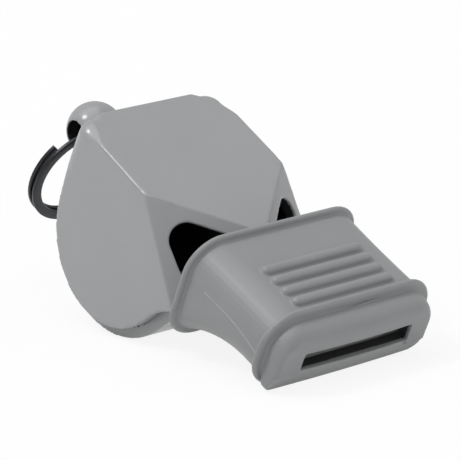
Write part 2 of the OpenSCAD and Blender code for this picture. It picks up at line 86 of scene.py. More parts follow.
@dataclass(frozen=True)
class Hull:
    """The outer faces of the hard body, in millimetres along the blowing axis.

    The bead is the CAD grip's front one, on whose lower edge the whistle rests.
    """

    roof_w: float = 22.0
    roof_mouth_z: float = 5.0
    roof_climb_deg: float = 2.6
    cheek_lean_deg: float = 5.0
    shoulder_y: float = 30.0
    rear_y: float = 45.0
    drum_y: float = 32.2
    drum_z: float = -2.5
    cheek_r: float = 10.9
    belly_r: float = 12.4
    tip_x: float = 1.5
    tip_y: float = 20.6
    foot_y: float = 20.1
    foot_z: float = -2.2
    lug_y: float = 52.5
    lug_z: float = -2.6
    bead_y: float = 2.9
    bead_z: float = -1.85
    bead_r: float = 0.5

    def roof_z(self, y: float) -> float:
        """Height of the roof at a distance from the mouth face."""
        return self.roof_mouth_z + y * math.tan(math.radians(self.roof_climb_deg))

    def half_w(self, z: float) -> float:
        """Distance from the middle plane to a cheek at a height."""
        lean = math.tan(math.radians(self.cheek_lean_deg))
        return self.roof_w / 2 + (self.roof_z(self.shoulder_y) - z) * lean

    def shoulder(self, side: int) -> Vector:
        """The corner where roof, cheek and recess meet, right for side 1 and left for side -1."""
        return Vector((side * self.roof_w / 2, self.shoulder_y, self.roof_z(self.shoulder_y)))

    def recess_normal(self) -> Vector:
        """The outward normal of the right recess.

        Returns:
            The normal, one long.
        """
        tip = Vector((self.tip_x, self.tip_y, self.roof_z(self.tip_y)))
        foot = Vector((self.half_w(self.foot_z), self.foot_y, self.foot_z))
        shoulder = self.shoulder(1)
        return (tip - shoulder).cross(foot - shoulder).normalized()

    def depth(self, point: Vector) -> float:
        """How deep a point lies under the nearest of the roof, cheek, recess and rear faces.

        Args:
            point: The point, in millimetres along the blowing axis.

        Returns:
            The depth in millimetres, below zero outside.
        """
        right = Vector((abs(point.x), point.y, point.z))
        return min(
            self.roof_z(point.y) - point.z,
            self.half_w(point.z) - right.x,
            (self.shoulder(1) - right).dot(self.recess_normal()),
            self.rear_y - point.y,
        )


HULL = Hull()


@dataclass(frozen=True)
class SoftCorner:
    """The roof's edge round a rear corner: rounded most at the corner, less and less away from it."""

    plan_r: float = 2.3
    radius: float = 1.6
    edge_r: float = 0.32
    ridge_fade: float = 3.4
    rear_fade: float = 1.7
    outside: float = 0.3
    ridge_len: float = 14.7

    def radius_at(self, from_cheek: float, from_rear: float) -> float:
        """Radius of the roof's edge.

        Args:
            from_cheek: Distance inside the cheek.
            from_rear: Distance inside the rear wall.

        Returns:
            The radius in millimetres.
        """
        along = 1 - min(1.0, max(0.0, from_rear - self.plan_r) / self.ridge_fade)
        across = 1 - min(1.0, max(0.0, from_cheek - self.plan_r) / self.rear_fade)
        share = along**2 * (3 - 2 * along) * across**2 * (3 - 2 * across)
        return self.edge_r + (self.radius - self.edge_r) * share

    def settle(self, point: Vector) -> Vector:
        """Where a point of the sharp body comes to lie on the rounded one.

        Args:
            point: The point, in millimetres along the blowing axis.

        Returns:
            The point's new place.
        """
        from_cheek = HULL.half_w(point.z) - abs(point.x)
        from_rear = HULL.rear_y - point.y
        below = HULL.roof_z(point.y) - point.z
        if min(from_cheek, from_rear, below) < -self.outside or from_rear > self.ridge_len:
            return point
        corner = Vector((max(self.plan_r - from_cheek, 0.0), max(self.plan_r - from_rear, 0.0)))
        if corner.length > 0:
            inside = self.plan_r - corner.length
            out = corner.normalized()
        else:
            inside = min(from_cheek, from_rear)
            out = Vector((1, 0)) if from_cheek < from_rear else Vector((0, 1))
        r = self.radius_at(from_cheek, from_rear)
        bend = Vector((max(r - inside, 0.0), max(r - below, 0.0)))
        if bend.length <= r:
            return point
        move = bend * (1 - r / bend.length)
        side = 1 if point.x > 0 else -1
        return point - Vector((side * out.x * move.x, out.y * move.x, move.y))


@dataclass(frozen=True)
class RestPose:
    """How the whistle lies: turned nose down about X, then moved into the frame.

    It rests on the belly and on the lower edge of the front bead, which gives its pitch. The place
    of the ring's hinge in the frame gives the rest.
    """

    pitch_deg: float
    shift_y: float
    lift_z: float

    @classmethod
    def from_frame(cls, ring_joint: dict) -> "RestPose":
        """Works the pose out from the body's sizes and the ring's joint.

        Args:
            ring_joint: The record's joint between the whistle and its ring.

        Returns:
            The pose.
        """
        along = Vector((HULL.drum_y - HULL.bead_y, HULL.drum_z - HULL.bead_z))
        climb = math.asin((HULL.belly_r - HULL.bead_r) / along.length)
        pitch = climb - math.atan2(along.y, along.x)
        lug = Matrix.Rotation(pitch, 3, "X") @ Vector((0, HULL.lug_y, HULL.lug_z))
        place = Vector(ring_joint["pos_m"]) / MM - lug
        return cls(math.degrees(pitch), place.y, place.z)

    def matrix(self) -> Matrix:
        """The move from the blowing axis, in millimetres, to the frame, in metres.

        Returns:
            The move.
        """
        turn = Matrix.Rotation(math.radians(self.pitch_deg), 4, "X")
        shift = Matrix.Translation(Vector((0, self.shift_y, self.lift_z)))
        return Matrix.Scale(MM, 4) @ shift @ turn


def linear(hex_value: str) -> tuple[float, float, float, float]:
    """Turns an sRGB hex colour into the linear values that a shader takes.

    Args:
        hex_value: Six hex digits, such as "9b9c9d".

    Returns:
        Red, green, blue and full opacity.
    """
    parts = [int(hex_value[i : i + 2], 16) / 255 for i in (0, 2, 4)]
    r, g, b = [c / 12.92 if c <= 0.04045 else ((c + 0.055) / 1.055) ** 2.4 for c in parts]
    return r, g, b, 1.0


def add_node(
    tree: bpy.types.NodeTree,
    kind: str,
    settings: dict[str, object] | None = None,
    links: dict[str, bpy.types.NodeSocket] | None = None,
) -> bpy.types.Node:
    """Adds a node with its settings and links.

    Args:
        tree: The node tree.
        kind: The node's type name.
        settings: Values by attribute name, or by input name where no attribute has it.
        links: The sockets that feed the node's inputs, by input name.

    Returns:
        The new node.
    """
    node = tree.nodes.new(kind)
    for name, value in (settings or {}).items():
        if name in node.inputs:
            node.inputs[name].default_value = value
        else:
            setattr(node, name, value)
    for name, socket in (links or {}).items():
        tree.links.new(socket, node.inputs[name])
    return node


def new_tree(name: str) -> tuple[bpy.types.Material, bpy.types.NodeTree]:
    """Makes an empty node material.

    Args:
        name: The material's name.

    Returns:
        The material and its node tree.
    """
    material = bpy.data.materials.new(name)
    material.use_nodes = True
    material.node_tree.nodes.clear()
    return material, material.node_tree


def mottled(
    tree: bpy.types.NodeTree,
    coords: bpy.types.NodeSocket,
    width_mm: float,
    detail: float,
    roughness: float,
    colours: tuple[str, str],
) -> tuple[bpy.types.NodeSocket, bpy.types.NodeSocket]:
    """Blends two near colours in soft patches.

    Args:
        tree: The node tree.
        coords: Object coordinates.
        width_mm: Width of the patches.
        detail: How many finer layers the patches have.
        roughness: How strong those layers are.
        colours: Hex colours of the deeper and the paler patches.

    Returns:
        The colour, and the pattern from 0 to 1.
    """
    pattern = add_node(
        tree,
        "ShaderNodeTexNoise",
        {"Scale": 1 / (width_mm * MM), "Detail": detail, "Roughness": roughness},
        {"Vector": coords},
    ).outputs["Fac"]
    tint = add_node(tree, "ShaderNodeMix", {"data_type": "RGBA"}, {"Factor": pattern})
    tint.inputs[6].default_value, tint.inputs[7].default_value = map(linear, colours)
    return tint.outputs[2], pattern


def grained(
    tree: bpy.types.NodeTree,
    coords: bpy.types.NodeSocket,
    width_mm: float,
    detail: float,
    roughness: float,
    depth_mm: float,
    strength: float,
) -> tuple[bpy.types.NodeSocket, bpy.types.NodeSocket]:
    """Raises the fine grain that a mould leaves.

    Args:
        tree: The node tree.
        coords: Object coordinates.
        width_mm: Width of the grain.
        detail: How many finer layers the grain has.
        roughness: How strong those layers are.
        depth_mm: Height of the grain.
        strength: How much of that height is seen.

    Returns:
        The normal, and the grain's height from 0 to 1.
    """
    height = add_node(
        tree,
        "ShaderNodeTexNoise",
        {"Scale": 1 / (width_mm * MM), "Detail": detail, "Roughness": roughness},
        {"Vector": coords},
    ).outputs["Fac"]
    bump = add_node(
        tree,
        "ShaderNodeBump",
        {"Strength": strength, "Distance": depth_mm * MM},
        {"Height": height},
    )
    return bump.outputs["Normal"], height


@dataclass(frozen=True)
class SatinAbs:
    """Injection-moulded ABS from a lightly spark-eroded mould: an even satin with a fine, soft grain."""

    name: str = "satin_moulded_abs"
    colour: str = "9d9e9f"
    deep: str = "98999b"
    roughness: float = 0.23
    ior: float = 1.53
    flow_mm: float = 9.0
    grain_mm: float = 0.22
    grain_depth_mm: float = 0.0012
    grain_strength: float = 0.35
    gloss_spread: float = 0.05

    def build(self) -> bpy.types.Material:
        """Makes the material.

        Returns:
            The finished material.
        """
        material, tree = new_tree(self.name)
        coords = add_node(tree, "ShaderNodeTexCoord").outputs["Object"]
        # Slow flow marks of the melt, a few millimetres wide, barely lighter and darker
        tint, _ = mottled(tree, coords, self.flow_mm, 2.0, 0.4, (self.deep, self.colour))
        # The mould's eroded grain is about 0.05 mm; it is drawn at 0.2 mm so that it shows at all
        normal, grain = grained(
            tree, coords, self.grain_mm, 3.0, 0.55, self.grain_depth_mm, self.grain_strength
        )
        gloss = add_node(
            tree,
            "ShaderNodeMapRange",
            {
                "To Min": self.roughness - self.gloss_spread,
                "To Max": self.roughness + self.gloss_spread,
            },
            {"Value": grain},
        )
        shader = add_node(
            tree,
            "ShaderNodeBsdfPrincipled",
            {"IOR": self.ior},
            {
                "Base Color": tint,
                "Roughness": gloss.outputs["Result"],
                "Normal": normal,
            },
        )
        add_node(tree, "ShaderNodeOutputMaterial", None, {"Surface": shader.outputs["BSDF"]})
        return material


@dataclass(frozen=True)
class SoftElastomer:
    """Injection-moulded thermoplastic elastomer: matte and slightly velvety, with soft highlights."""

    pose: RestPose
    name: str = "matte_moulded_elastomer"
    colour: str = "8e9091"
    deep: str = "898b8c"
    roughness: float = 0.48
    ior: float = 1.5
    sheen: float = 0.12
    sheen_roughness: float = 0.45
    flow_mm: float = 6.0
    grain_mm: float = 0.3
    grain_depth_mm: float = 0.006
    grain_strength: float = 0.4
    parting_z: float = 3.6
    parting_fall: float = 0.0156
    parting_bend_y: float = 11.0
    parting_front_y: float = 3.3
    parting_end_y: float = 14.3
    parting_mm: float = 0.12
    parting_height_mm: float = 0.06
    parting_highlight_colour: str = "b4b6b7"

    def build(self) -> bpy.types.Material:
        """Makes the material.

        Returns:
            The finished material.
        """
        material, tree = new_tree(self.name)
        coords = add_node(tree, "ShaderNodeTexCoord").outputs["Object"]
        tint, _ = mottled(tree, coords, self.flow_mm, 2.0, 0.45, (self.deep, self.colour))
        # The rubber's skin has a grain of under 0.1 mm; it is drawn at 0.3 mm so that it shows
        skin, _ = grained(
            tree, coords, self.grain_mm, 4.0, 0.6, self.grain_depth_mm, self.grain_strength
        )
        parting = self._parting_line(tree, coords)
        bump = add_node(
            tree,
            "ShaderNodeBump",
            {"Strength": 1.0, "Distance": self.parting_height_mm * MM},
            {"Height": parting, "Normal": skin},
        )
        # Painted highlight: the line is drawn paler than the skin round it, for the light that the
        # raised line catches
        lighter = add_node(tree, "ShaderNodeMix", {"data_type": "RGBA"}, {"Factor": parting})
        tree.links.new(tint, lighter.inputs[6])
        lighter.inputs[7].default_value = linear(self.parting_highlight_colour)
        shader = add_node(
            tree,
            "ShaderNodeBsdfPrincipled",
            {
                "IOR": self.ior,
                "Roughness": self.roughness,
                "Sheen Weight": self.sheen,
                "Sheen Roughness": self.sheen_roughness,
            },
            {"Base Color": lighter.outputs[2], "Normal": bump.outputs["Normal"]},
        )
        add_node(tree, "ShaderNodeOutputMaterial", None, {"Surface": shader.outputs["BSDF"]})
        return material

    def _parting_line(
        self, tree: bpy.types.NodeTree, coords: bpy.types.NodeSocket
    ) -> bpy.types.NodeSocket:
        """The fine raised line where the two mould halves met, level with the mouth slot's top.

        Args:
            tree: The node tree.
            coords: Object coordinates.

        Returns:
            The line's height, from 0 to 1.
        """
        upright = add_node(
            tree,
            "ShaderNodeMapping",
            {
                "vector_type": "TEXTURE",
                "Location": self.pose.matrix().to_translation(),
                "Rotation": (math.radians(self.pose.pitch_deg), 0, 0),
                "Scale": (MM, MM, MM),
            },
            {"Vector": coords},
        )
        at = add_node(tree, "ShaderNodeSeparateXYZ", None, {"Vector": upright.outputs[0]})

        def maths(operation: str, *values: bpy.types.NodeSocket | float) -> bpy.types.NodeSocket:
            """Adds one step of arithmetic.

            Args:
                operation: The step's name.
                values: Its inputs in order, as sockets or numbers.

            Returns:
                The result's socket.
            """
            node = add_node(tree, "ShaderNodeMath", {"operation": operation})
            for socket, value in zip(node.inputs, values):
                if isinstance(value, bpy.types.NodeSocket):
                    tree.links.new(value, socket)
                else:
                    socket.default_value = value
            return node.outputs[0]

        # In front of the bend the line sinks towards the mouth
        ahead = maths("MAXIMUM", maths("SUBTRACT", self.parting_bend_y, at.outputs["Y"]), 0.0)
        sink = maths("MULTIPLY", maths("MULTIPLY", ahead, ahead), self.parting_fall)
        level = maths("SUBTRACT", self.parting_z, sink)
        away = maths("ABSOLUTE", maths("SUBTRACT", at.outputs["Z"], level))
        ridge = add_node(
            tree,
            "ShaderNodeMapRange",
            {"From Min": 0.0, "From Max": self.parting_mm, "To Min": 1.0, "To Max": 0.0},
            {"Value": away},
        ).outputs["Result"]
        short = maths("LESS_THAN", at.outputs["Y"], self.parting_end_y)
        behind = maths("GREATER_THAN", at.outputs["Y"], self.parting_front_y)
        return maths("MULTIPLY", maths("MULTIPLY", ridge, short), behind)


@dataclass(frozen=True)
class BlackSpringSteel:
    """Rolled spring steel, blackened and oiled: dark, half dull, with long pale glints on its edges."""

    name: str = "blackened_spring_steel"
    colour: str = "3c3d40"
    deep: str = "2c2d30"
    metallic: float = 0.75
    roughness: float = 0.36
    rolling_mm: float = 0.35
    gloss_fall: float = 0.08
    gloss_rise: float = 0.1
    patch_depth_mm: float = 0.003
    patch_strength: float = 0.3

    def build(self) -> bpy.types.Material:
        """Makes the material.

        Returns:
            The finished material.
        """
        material, tree = new_tree(self.name)
        coords = add_node(tree, "ShaderNodeTexCoord").outputs["Object"]
        # Patches where the blackening took more or less, about a third of a millimetre wide
        tint, patches = mottled(
            tree, coords, self.rolling_mm, 4.0, 0.6, (self.deep, self.colour)
        )
        gloss = add_node(
            tree,
            "ShaderNodeMapRange",
            {
                "To Min": self.roughness - self.gloss_fall,
                "To Max": self.roughness + self.gloss_rise,
            },
            {"Value": patches},
        )
        bump = add_node(
            tree,
            "ShaderNodeBump",
            {"Strength": self.patch_strength, "Distance": self.patch_depth_mm * MM},
            {"Height": patches},
        )
        shader = add_node(
            tree,
            "ShaderNodeBsdfPrincipled",
            {"Metallic": self.metallic},
            {
                "Base Color": tint,
                "Roughness": gloss.outputs["Result"],
                "Normal": bump.outputs["Normal"],
            },
        )
        add_node(tree, "ShaderNodeOutputMaterial", None, {"Surface": shader.outputs["BSDF"]})
        return material


@dataclass(frozen=True)
class StudioPaper:
    """Seamless white background paper: matte, and white to the camera except where a shadow falls."""

    name: str = "white_background_paper"
    colour: str = "f4f4f4"
    glow: float = 0.88
    roughness: float = 0.9

    def build(self) -> bpy.types.Material:
        """Makes the material.

        Returns:
            The finished material.
        """
        material, tree = new_tree(self.name)
        paper = add_node(
            tree,
            "ShaderNodeBsdfDiffuse",
            {"Color": linear(self.colour), "Roughness": self.roughness},
        )
        white = add_node(
            tree, "ShaderNodeEmission", {"Color": (1.0, 1.0, 1.0, 1.0), "Strength": 1.0}
        )
        rays = add_node(tree, "ShaderNodeLightPath")
        seen = add_node(
            tree,
            "ShaderNodeMath",
            {"operation": "MAXIMUM"},
        )
        tree.links.new(rays.outputs["Is Camera Ray"], seen.inputs[0])
        tree.links.new(rays.outputs["Is Glossy Ray"], seen.inputs[1])
        share = add_node(tree, "ShaderNodeMath", {"operation": "MULTIPLY"})
        tree.links.new(seen.outputs[0], share.inputs[0])
        share.inputs[1].default_value = self.glow
        both = add_node(tree, "ShaderNodeMixShader")
        tree.links.new(share.outputs[0], both.inputs["Fac"])
        tree.links.new(paper.outputs["BSDF"], both.inputs[1])
        tree.links.new(white.outputs["Emission"], both.inputs[2])
        add_node(tree, "ShaderNodeOutputMaterial", None, {"Surface": both.outputs["Shader"]})
        return material


def deselect_all() -> None:
    """Leaves edit mode and deselects every object."""
    if bpy.context.object and bpy.context.object.mode != "OBJECT":
        bpy.ops.object.mode_set(mode="OBJECT")
    bpy.ops.object.select_all(action="DESELECT")


def take(obj: bpy.types.Object) -> bpy.types.Object:
    """Makes an object the only selected and active one.

    Args:
        obj: The object.

    Returns:
        The same object.
    """
    deselect_all()
    obj.select_set(True)
    bpy.context.view_layer.objects.active = obj
    return obj


def added(name: str) -> bpy.types.Object:
    """Names the primitive that was just added and applies its place, turn and scale.

    Args:
        name: The object's name.

    Returns:
        The new object.
    """
    obj = bpy.context.object
    obj.name = name
    take(obj)
    bpy.ops.object.transform_apply(location=True, rotation=True, scale=True)
    return obj


def select_where(
    obj: bpy.types.Object, mode: str, keep: Callable[[bmesh.types.BMVert], bool]
) -> int:
    """Selects, in edit mode, the elements whose vertices all pass a test.

    Args:
        obj: The object, which is in edit mode.
        mode: VERT, EDGE or FACE.
        keep: The test on a vertex.

    Returns:
        How many elements are selected.
    """
    bpy.ops.mesh.select_mode(type=mode)
    mesh = bmesh.from_edit_mesh(obj.data)
    for part in (mesh.faces, mesh.edges, mesh.verts):
        for item in part:
            item.select_set(False)
    count = 0
    items = {"VERT": mesh.verts, "EDGE": mesh.edges, "FACE": mesh.faces}[mode]
    for item in items:
        points = [item] if mode == "VERT" else list(item.verts)
        if all(keep(v) for v in points):
            item.select_set(True)
            count += 1
    mesh.select_flush_mode()
    bmesh.update_edit_mesh(obj.data)
    return count


def apply_modifier(obj: bpy.types.Object, kind: str, **settings: object) -> None:
    """Adds a modifier with its settings and applies it.

    Args:
        obj: The object.
        kind: The modifier's type name.
        settings: Values by attribute name.
    """
    take(obj)
    modifier = obj.modifiers.new(kind.lower(), kind)
    for name, value in settings.items():
        setattr(modifier, name, value)
    bpy.ops.object.modifier_apply(modifier=modifier.name)


def cut_away(obj: bpy.types.Object, cutter: bpy.types.Object) -> None:
    """Cuts one object out of another and removes the cutter.

    Args:
        obj: The object that is cut.
        cutter: The object that is cut out of it.
    """
    apply_modifier(obj, "BOOLEAN", operation="DIFFERENCE", solver="EXACT", object=cutter)
    bpy.data.objects.remove(cutter, do_unlink=True)


def finish_piece(
    obj: bpy.types.Object,
    material: bpy.types.Material | None,
    body: Body,
    smooth_deg: float,
) -> None:
    """Gives a finished mesh its material, shading and body.

    Args:
        obj: The piece, in the frame with its object at the origin.
        material: Its finish, or None where its faces have theirs already.
        body: The body that it rides on.
        smooth_deg: The largest angle that is shaded smoothly.
    """
    if material:
        obj.data.materials.clear()
        obj.data.materials.append(material)
    take(obj)
    bpy.ops.object.shade_smooth_by_angle(angle=math.radians(smooth_deg))
    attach(obj, body.value)
    log.info("%s: %d faces", obj.name, len(obj.data.polygons))


def own_copy(source: bpy.types.Object, name: str, pose: RestPose) -> bpy.types.Object:
    """Copies a CAD solid as a new piece, with merged corners, in millimetres along the blowing axis.

    Args:
        source: The CAD node's object.
        name: The new piece's name.
        pose: How the whistle lies.

    Returns:
        The copy, free of the frame's own marks.
    """
    obj = source.copy()
    obj.data = source.data.copy()
    for key in [k for k in obj.keys() if k.startswith("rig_")]:
        del obj[key]
    obj.name = name
    obj.parent = None
    obj.matrix_world = Matrix.Identity(4)
    obj.data.transform(pose.matrix().inverted())
    bpy.context.scene.collection.objects.link(obj)
    take(obj)
    bpy.ops.object.mode_set(mode="EDIT")
    bpy.ops.mesh.select_all(action="SELECT")
    bpy.ops.mesh.remove_doubles(threshold=0.002)
    bpy.ops.object.mode_set(mode="OBJECT")
    return obj


def lay_down(obj: bpy.types.Object, pose: RestPose) -> None:
    """Moves a mesh from millimetres along the blowing axis into the frame.

    Args:
        obj: The piece, with its object at the origin.
        pose: How the whistle lies.
    """
    obj.data.transform(pose.matrix())
    obj.data.update()


def melt(obj: bpy.types.Object, voxel: float, rounds: int, keep: float = 1.0) -> None:
    """Turns a mesh into one skin of small even faces and takes the sharpness off its edges.

    Args:
        obj: The piece, in millimetres.
        voxel: Size of the even faces.
        rounds: How often the skin is smoothed.
        keep: Share of the faces that is kept.
    """
    apply_modifier(obj, "REMESH", mode="VOXEL", voxel_size=voxel)
    apply_modifier(obj, "SMOOTH", factor=0.5, iterations=rounds)
    if keep < 1:
        apply_modifier(obj, "DECIMATE", ratio=keep)


def soften_near(
    obj: bpy.types.Object, gap: Callable[[Vector], float], full: float, reach: float, rounds: int
) -> None:
    """Smooths a mesh strongly near a place and less and less away from it.

    Args:
        obj: The piece, in millimetres.
        gap: Distance of a point from the place.
        full: Distance up to which the smoothing is full.
        reach: Distance at which it has faded out.
        rounds: How often the skin is smoothed.
    """
    group = obj.vertex_groups.new(name="soft_zone")
    for vertex in obj.data.vertices:
        away = gap(vertex.co)
        if away < reach:
            group.add([vertex.index], min(1.0, (reach - away) / (reach - full)), "REPLACE")
    apply_modifier(obj, "SMOOTH", factor=0.5, iterations=rounds, vertex_group=group.name)
    obj.vertex_groups.clear()


def shade_faces(
    obj: bpy.types.Object, material: bpy.types.Material, inside: Callable[[Vector], bool]
) -> None:
    """Gives a second material to the faces that lie in a place.

    Args:
        obj: The piece, in millimetres, that already has its first material.
        material: The second material.
        inside: The test on a face's middle.
    """
    obj.data.materials.append(material)
    last = len(obj.data.materials) - 1
    for face in obj.data.polygons:
        if inside(face.center):
            face.material_index = last


@dataclass
class HardMouldings:
    """The hard plastic pieces: upper body, lower cover and air divider, with moulded soft edges."""

    nodes: dict[str, bpy.types.Object]
    pose: RestPose
    voxel: float = 0.16
    cover_voxel: float = 0.2
    keep: float = 0.5
    corner: SoftCorner = SoftCorner()
    shoulder_full: float = 0.7
    shoulder_reach: float = 1.8
    shoulder_rounds: int = 16
    settle_rounds: int = 3
    lug_root_r: float = 3.6
    lug_root_full: float = 0.3
    lug_root_reach: float = 1.2
    lug_root_rounds: int = 12
    lug_r: float = 3.7
    lug_mouth_r: float = 1.74
    # hole_rim to cover_depth place the painted shade inside the chambers, the windway and the lug's hole
    hole_rim: float = 0.15
    hole_end: float = 0.6
    lit_depth: float = 0.3
    lit_ramp_y: float = 25.0
    rear_wall: float = 0.6
    rear_zone_y: float = 38.0
    cover_ramp_y: float = 23.0
    cover_depth: float = 1.0
    edge_r: float = 0.12
    flat_deg: float = 0.4
    edge_deg: float = 24.0

    def build(self) -> list[bpy.types.Object]:
        """Builds all three pieces.

        Returns:
            The pieces.
        """
        # Painted shade: a near-black copy of the grey ABS for the walls deep in the chambers, in the
        # windway and in the lug's hole, where little light comes back; the plastic there is the same
        # grey
        dark = SatinAbs("abs_painted_shade_in_the_chambers", "1c1d1e", "151617", roughness=0.6).build()
        return [self._upper_body(dark), self._lower_cover(dark), self._divider(dark)]

    def _upper_body(self, dark: bpy.types.Material) -> bpy.types.Object:
        """The roofed body with its lug: soft rear corners, small fillets along the other edges.

        Args:
            dark: Painted shade for the walls inside the chambers, a near-black copy of the grey ABS.

        Returns:
            The piece.
        """
        obj = own_copy(self.nodes["upper_body"], "body_moulding", self.pose)
        self._close_lug(obj)
        melt(obj, self.voxel, 1)
        for vertex in obj.data.vertices:
            vertex.co = self.corner.settle(vertex.co)
        apply_modifier(obj, "SMOOTH", factor=0.5, iterations=self.settle_rounds)
        shoulders = [HULL.shoulder(side) for side in (1, -1)]
        soften_near(
            obj,
            lambda p: min((p - c).length for c in shoulders),
            self.shoulder_full,
            self.shoulder_reach,
            self.shoulder_rounds,
        )
        soften_near(
            obj,
            self._gap_to_lug_root,
            self.lug_root_full,
            self.lug_root_reach,
            self.lug_root_rounds,
        )
        apply_modifier(obj, "DECIMATE", ratio=self.keep)
        obj.data.materials.clear()
        obj.data.materials.append(SatinAbs().build())
        # Painted shade on the faces in the chambers, the windway and the lug's hole
        shade_faces(obj, dark, self._body_face_in_painted_shade)
        lay_down(obj, self.pose)
        finish_piece(obj, None, Body.WHISTLE, ALL_SMOOTH_DEG)
        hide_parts("upper_body")
        return obj

    def _close_lug(self, obj: bpy.types.Object) -> None:
        """Draws the mouths of the lug's hole in, as far as the swinging ring leaves them free.

        Args:
            obj: The upper body.
        """
        place = (0, HULL.lug_y, HULL.lug_z)
        deselect_all()
        bpy.ops.mesh.primitive_uv_sphere_add(
            segments=64, ring_count=48, radius=self.lug_r, location=place
        )
        ball = added("lug_ball")
        deselect_all()
        bpy.ops.mesh.primitive_cylinder_add(
            vertices=64,
            radius=self.lug_mouth_r,
            depth=4 * self.lug_r,
            location=place,
            rotation=(0, math.pi / 2, 0),
        )
        cut_away(ball, added("lug_mouth_cutter"))
        take(obj)
        ball.select_set(True)
        bpy.context.view_layer.objects.active = obj
        bpy.ops.object.join()

    def _lower_cover(self, dark: bpy.types.Material) -> bpy.types.Object:
        """The floor with its belly and ramps.

        Args:
            dark: Painted shade for the walls inside the chambers, a near-black copy of the grey ABS.

        Returns:
            The piece.
        """
        obj = own_copy(self.nodes["lower_cover"], "cover_moulding", self.pose)
        melt(obj, self.cover_voxel, 2, self.keep)
        obj.data.materials.clear()
        # Painted light: the cover's ABS is drawn a little paler than the body's, for the floor's light
        # bouncing up onto the belly; the real plastic is the same grey
        obj.data.materials.append(SatinAbs("satin_moulded_abs_cover_painted_paler", "a3a4a5", "9e9fa0").build())
        # Painted shade on the faces inside the drum, behind the ramps' front corners
        shade_faces(obj, dark, self._cover_face_in_painted_shade)
        lay_down(obj, self.pose)
        finish_piece(obj, None, Body.WHISTLE, ALL_SMOOTH_DEG)
        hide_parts("lower_cover")
        return obj

    def _divider(self, dark: bpy.types.Material) -> bpy.types.Object:
        """The wall between the side chambers, with its ramps.

        Args:
            dark: Painted shade for the walls inside the chambers, a near-black copy of the grey ABS.

        Returns:
            The piece.
        """
        obj = own_copy(self.nodes["air_divider"], "divider_moulding", self.pose)
        take(obj)
        bpy.ops.object.mode_set(mode="EDIT")
        bpy.ops.mesh.select_all(action="SELECT")
        bpy.ops.mesh.dissolve_limited(angle_limit=math.radians(self.flat_deg))
        bpy.ops.object.mode_set(mode="OBJECT")
        apply_modifier(
            obj,
            "BEVEL",
            width=self.edge_r,
            segments=2,
            limit_method="ANGLE",
            angle_limit=math.radians(self.edge_deg),
        )
        obj.data.materials.clear()
        obj.data.materials.append(SatinAbs("moulded_abs_divider").build())
        # Painted shade on the divider behind the ramps' lit front
        shade_faces(obj, dark, lambda p: p.y > self.lit_ramp_y)
        lay_down(obj, self.pose)
        finish_piece(obj, None, Body.WHISTLE, EDGED_SMOOTH_DEG)
        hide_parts("air_divider")
        return obj

    def _gap_to_lug_root(self, point: Vector) -> float:
        """Distance from the line where the lug's neck leaves the rear wall.

        Args:
            point: The point.

        Returns:
            The distance in millimetres.
        """
        out = math.hypot(point.x, point.z - HULL.lug_z) - self.lug_root_r
        return math.hypot(out, point.y - HULL.rear_y)

    def _body_face_in_painted_shade(self, point: Vector) -> bool:
        """Whether a face of the upper body lies in a chamber, in the windway or in the lug's hole, where
        it gets painted shade.

        Args:
            point: The face's middle.

        Returns:
            True inside.
        """
        hole = math.hypot(point.y - HULL.lug_y, point.z - HULL.lug_z)
        if hole < self.lug_mouth_r + self.hole_rim and abs(point.x) < self.lug_r - self.hole_end:
            return True
        from_axis = math.hypot(point.y - HULL.drum_y, point.z - HULL.drum_z)
        behind = point.y > self.rear_zone_y or point.z < HULL.drum_z
        if behind and from_axis > HULL.cheek_r - self.rear_wall:
            return False
        return HULL.depth(point) > self.lit_depth and point.y < HULL.rear_y

    def _cover_face_in_painted_shade(self, point: Vector) -> bool:
        """Whether a face of the lower cover lies inside the drum, behind the ramps' front corners, where
        it gets painted shade.

        Args:
            point: The face's middle.

        Returns:
            True inside.
        """
        from_axis = math.hypot(point.y - HULL.drum_y, point.z - HULL.drum_z)
        deep = HULL.depth(point) > self.cover_depth
        return point.y > self.cover_ramp_y and deep and from_axis < HULL.cheek_r


